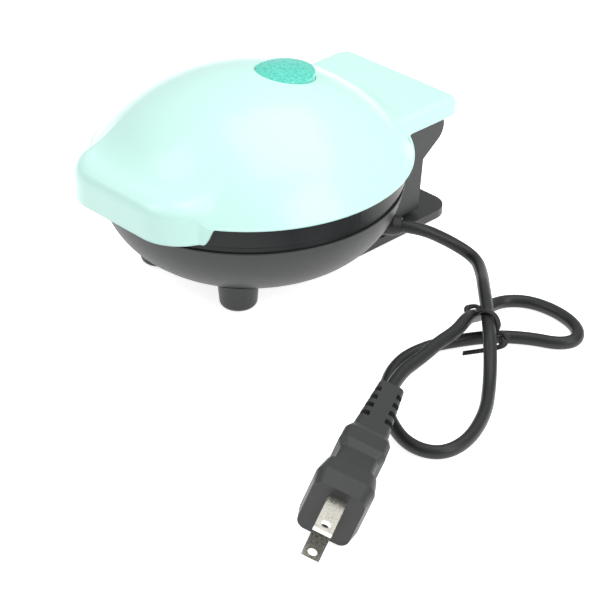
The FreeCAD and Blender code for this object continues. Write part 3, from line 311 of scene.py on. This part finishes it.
def lens_material():
    """Tinted clear plastic, lighter in the middle of each small cell."""
    material, tree, shader, where = new_material(
        "lens_plastic", {"Transmission Weight": 0.15, "IOR": 1.49, "Coat Weight": 0.5})
    group = place_effect(tree, MOULDED, where, Smooth=0.16, Spread=0.05)
    cells = add(tree, "ShaderNodeTexVoronoi")
    link(tree, where, cells.inputs["Vector"])
    cells.inputs["Scale"].default_value = 850.0
    tone = remap(tree, cells.outputs["Distance"], 0.1, 0.7, 0.0, 1.0)
    link(tree, mixed(tree, tone, (0.20, 0.92, 0.77), (0.08, 0.72, 0.58)), shader.inputs["Base Color"])
    link(tree, group.outputs["Roughness"], shader.inputs["Roughness"])
    bump(tree, shader, cells.outputs["Distance"], 0.0002, 0.6)
    return material


def lamp_material():
    """Thin clear glass with a faint warm tint."""
    material, tree, shader, where = new_material("lamp_glass", {"Transmission Weight": 0.9, "IOR": 1.5})
    link(tree, mixed(tree, noise(tree, where, 300.0), (0.95, 0.75, 0.6), (1.0, 0.85, 0.75)),
         shader.inputs["Base Color"])
    link(tree, remap(tree, noise(tree, where, 900.0), 0.3, 0.7, 0.03, 0.1), shader.inputs["Roughness"])
    return material


PLATE = coated_plate()
LENS = lens_material()
LAMP = lamp_material()

BY_SLOT = {
    "lid_plastic": LID, "base_plastic": BASE, "trim_plastic": TRIM, "plate_coating": PLATE,
    "steel": STEEL, "element_sheath": SHEATH, "reflector_sheet": SHEET, "lens_plastic": LENS,
    "holder_plastic": HOLDER, "lamp_glass": LAMP, "wire_sleeve": WIRE, "pad_rubber": PAD,
    "cord_rubber": CORD, "plug_rubber": PLUG, "blade_metal": BLADE, "tie_plastic": TIE,
}


def dress_nodes():
    """Give every node of the frame the material of its slot."""
    for entry in frame["record"]["subparts"]:
        mesh = nodes[entry["node"]].data
        mesh.materials.clear()
        mesh.materials.append(BY_SLOT[entry["material_slot"]])


# ---- cord -----------------------------------------------------------------------------------

# The cord's route over the table in millimetres, from inside its gland to the plug.
CORD_ROUTE = [
    (42.73, 22.95, 20.0), (52.31, 30.17, 20.0),
    (60.2, 40.9, 12.6), (70.6, 45.2, 7.5), (82.9, 34.8, 9.5), (93.0, 24.3, 12.6),
    (106.2, 11.6, 12.8), (117.3, 0.2, 12.4), (122.5, -4.8, 7.5), (130.1, -13.5, 2.6),
    (140.9, -28.0, 2.6), (147.7, -45.1, 2.6), (145.8, -57.3, 2.6), (134.2, -61.0, 2.6),
    (118.2, -54.0, 2.6), (103.9, -41.1, 2.6), (95.6, -25.2, 2.6), (96.1, -10.3, 2.6),
    (101.6, 1.8, 2.6), (108.8, 13.3, 2.6), (119.0, 21.8, 2.6), (129.3, 26.6, 2.6),
    (132.2, 33.9, 2.6), (125.8, 40.8, 2.6), (112.9, 43.7, 2.6), (100.0, 41.2, 2.6),
    (92.6, 32.0, 2.6), (98.6, 15.5, 6.0), (102.6, 5.0, 12.2), (106.9, -6.1, 12.5),
    (108.0, -17.6, 12.8), (110.6, -28.2, 13.0), (112.96, -43.81, 13.4), (118.8, -54.3, 13.4),
]
CORD_RADIUS = 2.5


def add_cord():
    """A round lead on a smooth spline whose control points are the route's points."""
    curve = bpy.data.curves.new("mains_cord", "CURVE")
    curve.dimensions = "3D"
    curve.resolution_u = 12
    curve.bevel_depth = CORD_RADIUS * MM
    curve.bevel_resolution = 6
    curve.use_fill_caps = True
    spline = curve.splines.new("NURBS")
    points = np.array(CORD_ROUTE) * MM
    spline.points.add(len(points) - 1)
    spline.points.foreach_set("co", np.column_stack([points, np.ones(len(points))]).ravel())
    spline.order_u = 3
    spline.use_endpoint_u = True
    curve.materials.append(CORD)
    cord = bpy.data.objects.new("mains_cord", curve)
    scene.collection.objects.link(cord)
    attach(cord, "base")
    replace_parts(cord, "power_cord")
    return cord


# ---- lid shell ------------------------------------------------------------------------------

LENS_X, LENS_Y = 4.2, 14.2      # indicator's axis, from the plate axis, mm
LENS_HOLE = 11.95
LID_RADIUS = 63.48
DOME_SPHERE = 77.6
DOME_SINK = 36.0                # how far the sphere's centre lies under the parting plane
# Tabs: middle, half width, far edge, corner radius, top and edge round.
FRONT_TAB = (-2.5, 35.4, -67.0, 19.0, 17.4, 6.5)
REAR_TAB = (0.0, 33.6, 85.5, 7.0, 15.8, 4.0)
TAB_START = 10.0                # how far a tab's rectangle reaches past the plate axis
TAB_FALL = 3.0                  # slope outside a tab's edge
FRONT_BLEND, REAR_BLEND = 7.0, 4.0
COVER_WALL = 2.2
SKIRT_HEIGHT = 8.6              # lower edge above the parting plane, under the dome
FRONT_DROP, REAR_RISE = 6.8, 0.6
FRONT_START, FRONT_STEP = -51.8, 2.4
REAR_START = 63.6
LID_COLUMNS, TOP_RINGS, INNER_RINGS = 640, 58, 22


def tab_depth(x, y, tab, inset):
    """How deep a point lies inside a tab's rounded rectangle; negative outside it.

    Distance = corner radius - length of what sticks out of the rectangle shrunk by that radius."""
    middle, half, far, corner = tab[:4]
    half, corner = half - inset, corner - inset
    length = (abs(far) - inset + TAB_START) / 2
    centre = np.sign(far) * (length - TAB_START)
    out_x = np.abs(x - middle) - (half - corner)
    out_y = np.abs(y - centre) - (length - corner)
    beyond = np.hypot(np.maximum(out_x, 0), np.maximum(out_y, 0))
    return corner - beyond - np.minimum(np.maximum(out_x, out_y), 0)


def tab_height(x, y, tab):
    """Top of a tab: flat, with a quarter-round inside its edge and a steep fall outside."""
    edge = tab[5]
    deep = tab_depth(x, y, tab, 0.0)
    within = edge - np.clip(deep, 0, edge)
    rounded = edge - np.sqrt(np.maximum(edge ** 2 - within ** 2, 0))
    return tab[4] - rounded + TAB_FALL * np.minimum(deep, 0)


def soft_highest(a, b, blend):
    """The higher of two surfaces, filled where they are closer than the blend."""
    near = np.maximum(blend - np.abs(a - b), 0) / blend
    return np.maximum(a, b) + blend / 4 * near ** 2


def lid_height(x, y):
    """Dome z = root(R^2 - r^2) - sink, softly joined to the front and the rear tab."""
    dome = np.sqrt(np.maximum(DOME_SPHERE ** 2 - x ** 2 - y ** 2, 0)) - DOME_SINK
    with_front = soft_highest(dome, tab_height(x, y, FRONT_TAB), FRONT_BLEND)
    return soft_highest(with_front, tab_height(x, y, REAR_TAB), REAR_BLEND)


def lid_outline(turn, inset):
    """Distance from the indicator's axis to the lid's outline, by halving, for each direction."""
    low, high = np.full(turn.shape, 20.0), np.full(turn.shape, 120.0)
    for _ in range(40):
        reach = (low + high) / 2
        x, y = LENS_X + reach * np.cos(turn), LENS_Y + reach * np.sin(turn)
        deep = LID_RADIUS - inset - np.hypot(x, y)
        for tab in (FRONT_TAB, REAR_TAB):
            deep = np.maximum(deep, tab_depth(x, y, tab, inset))
        low, high = np.where(deep > 0, reach, low), np.where(deep > 0, high, reach)
    return low


def even_turns(count):
    """Directions that divide the outline into steps of the same length."""
    dense = np.linspace(0, 2 * np.pi, 7201)
    reach = lid_outline(dense, 0.0)
    x, y = reach * np.cos(dense), reach * np.sin(dense)
    run = np.concatenate([[0], np.cumsum(np.hypot(np.diff(x), np.diff(y)))])
    return np.interp(np.arange(count) / count * run[-1], run, dense)


def skirt_bottom(x, y):
    """Lower edge: 8.6 under the dome, 1.8 along the front tab, 9.2 along the rear one."""
    front = np.clip((FRONT_START - y) / FRONT_STEP, 0, 1)
    front = front * front * (3 - 2 * front)
    rear = np.clip(np.hypot(x, y) - REAR_START, 0, 1) * (y > 0)
    return SKIRT_HEIGHT - FRONT_DROP * front + REAR_RISE * rear


def about_lens(turn, reach, height):
    """A ring of points about the indicator's axis."""
    return np.stack([LENS_X + reach * np.cos(turn), LENS_Y + reach * np.sin(turn), height], axis=-1)


def surface_ring(turn, reach, drop, lowest):
    """A ring that lies the drop below the lid's top, but not under its lowest heights."""
    x, y = LENS_X + reach * np.cos(turn), LENS_Y + reach * np.sin(turn)
    return about_lens(turn, reach, np.maximum(lid_height(x, y) - drop, lowest))


def lid_rings(turn, outer, inner):
    """Rings from the lens hole to the outline, down the skirt, and back under the top."""
    edge = about_lens(turn, outer, outer * 0)
    bottom = skirt_bottom(edge[:, 0], edge[:, 1])
    share = np.linspace(0, 1, TOP_RINGS)
    outwards = np.concatenate([[0.0, 0.004], 1 - (1 - share[1:]) ** 1.7])
    rows = [surface_ring(turn, LENS_HOLE + (outer - LENS_HOLE) * part, 0.0, bottom + 0.6)
            for part in outwards]
    top = rows[-1][:, 2]
    rows += [about_lens(turn, outer, top + (bottom - top) * part) for part in (0.1, 0.5, 0.9, 1.0)]
    rows += [about_lens(turn, outer + (inner - outer) * part, bottom) for part in (0.1, 0.9, 1.0)]
    under = [surface_ring(turn, LENS_HOLE + (inner - LENS_HOLE) * part, COVER_WALL, bottom + 0.3)
             for part in np.linspace(0, 1, INNER_RINGS)]
    return rows + under[::-1]


def add_lid():
    """The lid's cover as one closed skin about the indicator's hole."""
    turn = even_turns(LID_COLUMNS)
    rows = lid_rings(turn, lid_outline(turn, 0.0), lid_outline(turn, COVER_WALL))
    points = np.concatenate(rows)
    points[:, 1] += AXIS_Y
    points[:, 2] += PARTING
    faces = grid_faces(len(rows), LID_COLUMNS, True, True)[:, ::-1]
    return new_piece("lid_shell", points, faces, "lid", LID)


def add_lens():
    """Indicator lens: a low dome whose face is covered with a hexagonal net of small dimples.

    Height = crown * (1 - r^2 / R^2) + depth * (mean of three cosines turned by 60 degrees)."""
    radius, crown, pitch, depth = 11.75, 1.4, 1.15, 0.09
    segments = 288
    turn = np.linspace(0, 2 * np.pi, segments, endpoint=False)
    rim, foot = 40.15, 30.0
    rows = []
    for reach in np.linspace(0.05, radius - 0.5, 96):
        x, y = reach * np.cos(turn), reach * np.sin(turn)
        net = sum(np.cos(2 * np.pi / pitch * (x * math.cos(a) + y * math.sin(a)))
                  for a in (0, math.pi / 3, 2 * math.pi / 3)) / 3
        fade = np.clip((radius - 0.9 - reach) / 0.6, 0, 1)
        high = rim + crown * (1 - reach ** 2 / radius ** 2) - 0.12 + depth * fade * net
        rows.append(np.stack([x, y, high], axis=-1))
    profile = [
        (radius - 0.2, rim - 0.1), (radius, rim - 0.45), (radius, rim - 1.2), (radius, foot + 1.3),
        (radius, foot + 1.2), (radius + 1.1, foot + 1.2), (radius + 1.1, foot), (radius - 1.2, foot),
        (radius - 1.2, foot + 0.2), (radius - 1.2, rim - 2.6), (radius - 1.4, rim - 2.4), (0.05, rim - 2.4),
    ]
    rows.append(turned_points(profile, segments))
    points = np.concatenate(rows)
    total = len(points) // segments
    faces = capped(grid_faces(total, segments, False, True)[:, ::-1], total, segments)
    points[:, 0] += LENS_X
    points[:, 1] += LENS_Y + AXIS_Y
    points[:, 2] += PARTING
    return new_piece("dimpled_lens", points, faces, "lid", LENS)


LIP_RADIUS, LIP_HEIGHT, LIP_ROUND = 59.35, 35.5, 0.5


def add_bowl_lip():
    """A fine bead round the bowl's rim: a small circle carried round the plate axis."""
    segments, around = 360, 14
    turn = np.linspace(0, 2 * np.pi, around, endpoint=False)
    profile = np.column_stack([LIP_RADIUS + LIP_ROUND * np.cos(turn), LIP_HEIGHT + LIP_ROUND * np.sin(turn)])
    points = turned_points(profile, segments)
    points[:, 1] += AXIS_Y
    faces = grid_faces(around, segments, True, True)[:, ::-1]
    return new_piece("bowl_lip", points, faces, "base", BASE)


# ---- tie round the lead ---------------------------------------------------------------------


def flowing(corners, steps):
    """A curve through every corner: each span is the Catmull-Rom cubic of its four neighbours."""
    corners = np.asarray(corners, float)
    padded = np.concatenate([[2 * corners[0] - corners[1]], corners, [2 * corners[-1] - corners[-2]]])
    t = np.linspace(0, 1, steps, endpoint=False)[:, None]
    spans = []
    for a, b, c, d in zip(padded, padded[1:], padded[2:], padded[3:]):
        spans.append(0.5 * (2 * b + (c - a) * t + (2 * a - 5 * b + 4 * c - d) * t ** 2
                            + (3 * b - a - 3 * c + d) * t ** 3))
    return np.concatenate(spans + [corners[-1:]])


def swept(path, half_width, half_thickness, segments=16):
    """An oval section carried along a path, its flat side kept level where it can be."""
    ahead = np.gradient(path, axis=0)
    ahead /= np.linalg.norm(ahead, axis=1)[:, None]
    side = np.cross(ahead, np.array([0.25, 0.1, 1.0]))
    side /= np.linalg.norm(side, axis=1)[:, None]
    over = np.cross(side, ahead)
    turn = np.linspace(0, 2 * np.pi, segments, endpoint=False)[None, :, None]
    ring = half_width * np.cos(turn) * side[:, None, :] + half_thickness * np.sin(turn) * over[:, None, :]
    points = (path[:, None, :] + ring).reshape(-1, 3)
    return points, capped(grid_faces(len(path), segments, False, True), len(path), segments)


TIE_HALF_WIDTH, TIE_HALF_THICKNESS = 1.2, 0.65
TIE_LOOP = [
    (102.0, 10.6, 10.4), (99.6, 8.4, 10.6), (97.4, 10.4, 11.2), (99.6, 12.4, 12.0), (102.8, 11.2, 12.6),
]
TIE_TAIL = [
    (118.2, 7.6, 10.4), (120.6, 6.6, 9.2), (119.4, 4.6, 8.4), (118.4, 6.6, 9.4),
    (120.8, 4.6, 8.6), (119.8, 2.2, 7.6), (115.6, -1.5, 6.0), (109.6, -5.1, 3.6),
]


def add_tie():
    """A twist tie: a small loop, a slanting turn over the lead, a knot and a flat tail."""
    start, end = np.array(CORD_ROUTE[6]), np.array(CORD_ROUTE[7])
    ahead = (end - start) / np.linalg.norm(end - start)
    side = np.cross(ahead, [0, 0, 1.0])
    side /= np.linalg.norm(side)
    over = np.cross(side, ahead)
    middle = start * 0.64 + end * 0.36
    turns = np.linspace(0, 2 * np.pi * 0.62, 21)[:, None]
    reach = CORD_RADIUS + 0.95
    wound = (middle + ahead * (turns / turns[-1] - 0.5) * 8.5
             + side * np.cos(turns) * reach + over * np.sin(turns) * reach)
    path = flowing(np.concatenate([TIE_LOOP, wound[::4], TIE_TAIL]), 6)
    points, faces = swept(path, TIE_HALF_WIDTH, TIE_HALF_THICKNESS)
    return new_piece("twist_tie", points, faces, "base", TIE)


# ---- floor and light ------------------------------------------------------------------------

OBJECT_MIDDLE = (0, 0, 0.04)


def add_floor():
    """A wide white sheet that keeps the soft shadow and is otherwise as white as the backdrop."""
    size = 6.0
    mesh = bpy.data.meshes.new("floor")
    corners = [(-size, -size, 0), (size, -size, 0), (size, size, 0), (-size, size, 0)]
    mesh.from_pydata(corners, [], [(0, 1, 2, 3)])
    material = bpy.data.materials.new("floor_sheet")
    material.use_nodes = True
    tree = material.node_tree
    shader = tree.nodes["Principled BSDF"]
    shader.inputs["Roughness"].default_value = 0.9
    shader.inputs["Specular IOR Level"].default_value = 0.1
    shader.inputs["Base Color"].default_value = (0.9, 0.9, 0.9, 1)
    glow = add(tree, "ShaderNodeEmission")
    glow.inputs["Color"].default_value = (1, 1, 1, 1)
    path = add(tree, "ShaderNodeLightPath")
    seen = math_node(tree, "MAXIMUM", path.outputs["Is Camera Ray"], path.outputs["Is Glossy Ray"])
    seen = math_node(tree, "MAXIMUM", seen, path.outputs["Is Transmission Ray"])
    link(tree, math_node(tree, "MULTIPLY", seen, 0.8), glow.inputs["Strength"])
    both = add(tree, "ShaderNodeAddShader")
    link(tree, shader.outputs[0], both.inputs[0])
    link(tree, glow.outputs[0], both.inputs[1])
    link(tree, both.outputs[0], tree.nodes["Material Output"].inputs["Surface"])
    mesh.materials.append(material)
    floor = bpy.data.objects.new("floor", mesh)
    scene.collection.objects.link(floor)


def add_world():
    """Even white surroundings: plain white to the eye, a softer level for lighting the object."""
    world = bpy.data.worlds.new("studio")
    scene.world = world
    world.use_nodes = True
    tree = world.node_tree
    background = tree.nodes["Background"]
    background.inputs["Color"].default_value = (1, 1, 1, 1)
    path = add(tree, "ShaderNodeLightPath")
    seen = math_node(tree, "MAXIMUM", path.outputs["Is Camera Ray"], path.outputs["Is Transmission Ray"])
    link(tree, remap(tree, seen, 0.0, 1.0, 0.52, 1.0), background.inputs["Strength"])


def add_lamp(name, place, size, power):
    """A rectangular soft light that looks at the middle of the object."""
    data = bpy.data.lights.new(name, "AREA")
    data.shape = "RECTANGLE"
    data.size, data.size_y = size
    data.energy = power
    lamp = bpy.data.objects.new(name, data)
    lamp.location = place
    lamp.rotation_euler = (Vector(OBJECT_MIDDLE) - Vector(place)).to_track_quat("-Z", "Y").to_euler()
    scene.collection.objects.link(lamp)


def add_lights():
    """Three soft lights: front left, right and overhead."""
    add_lamp("key", (-0.5, -0.7, 0.9), (0.7, 0.7), 3.0)
    add_lamp("fill", (0.9, 0.1, 0.6), (0.6, 0.9), 4.6)
    add_lamp("top", (0.1, 0.3, 1.2), (1.0, 1.0), 6.0)


add_camera()
add_world()
add_lights()
add_floor()
dress_nodes()
cord = add_cord()
tie = add_tie()
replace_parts(add_lid(), "lid_cover")
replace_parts(add_lens(), "indicator_lens")
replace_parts(tie, "cord_tie")
add_bowl_lip()

scene.view_settings.view_transform = "Standard"
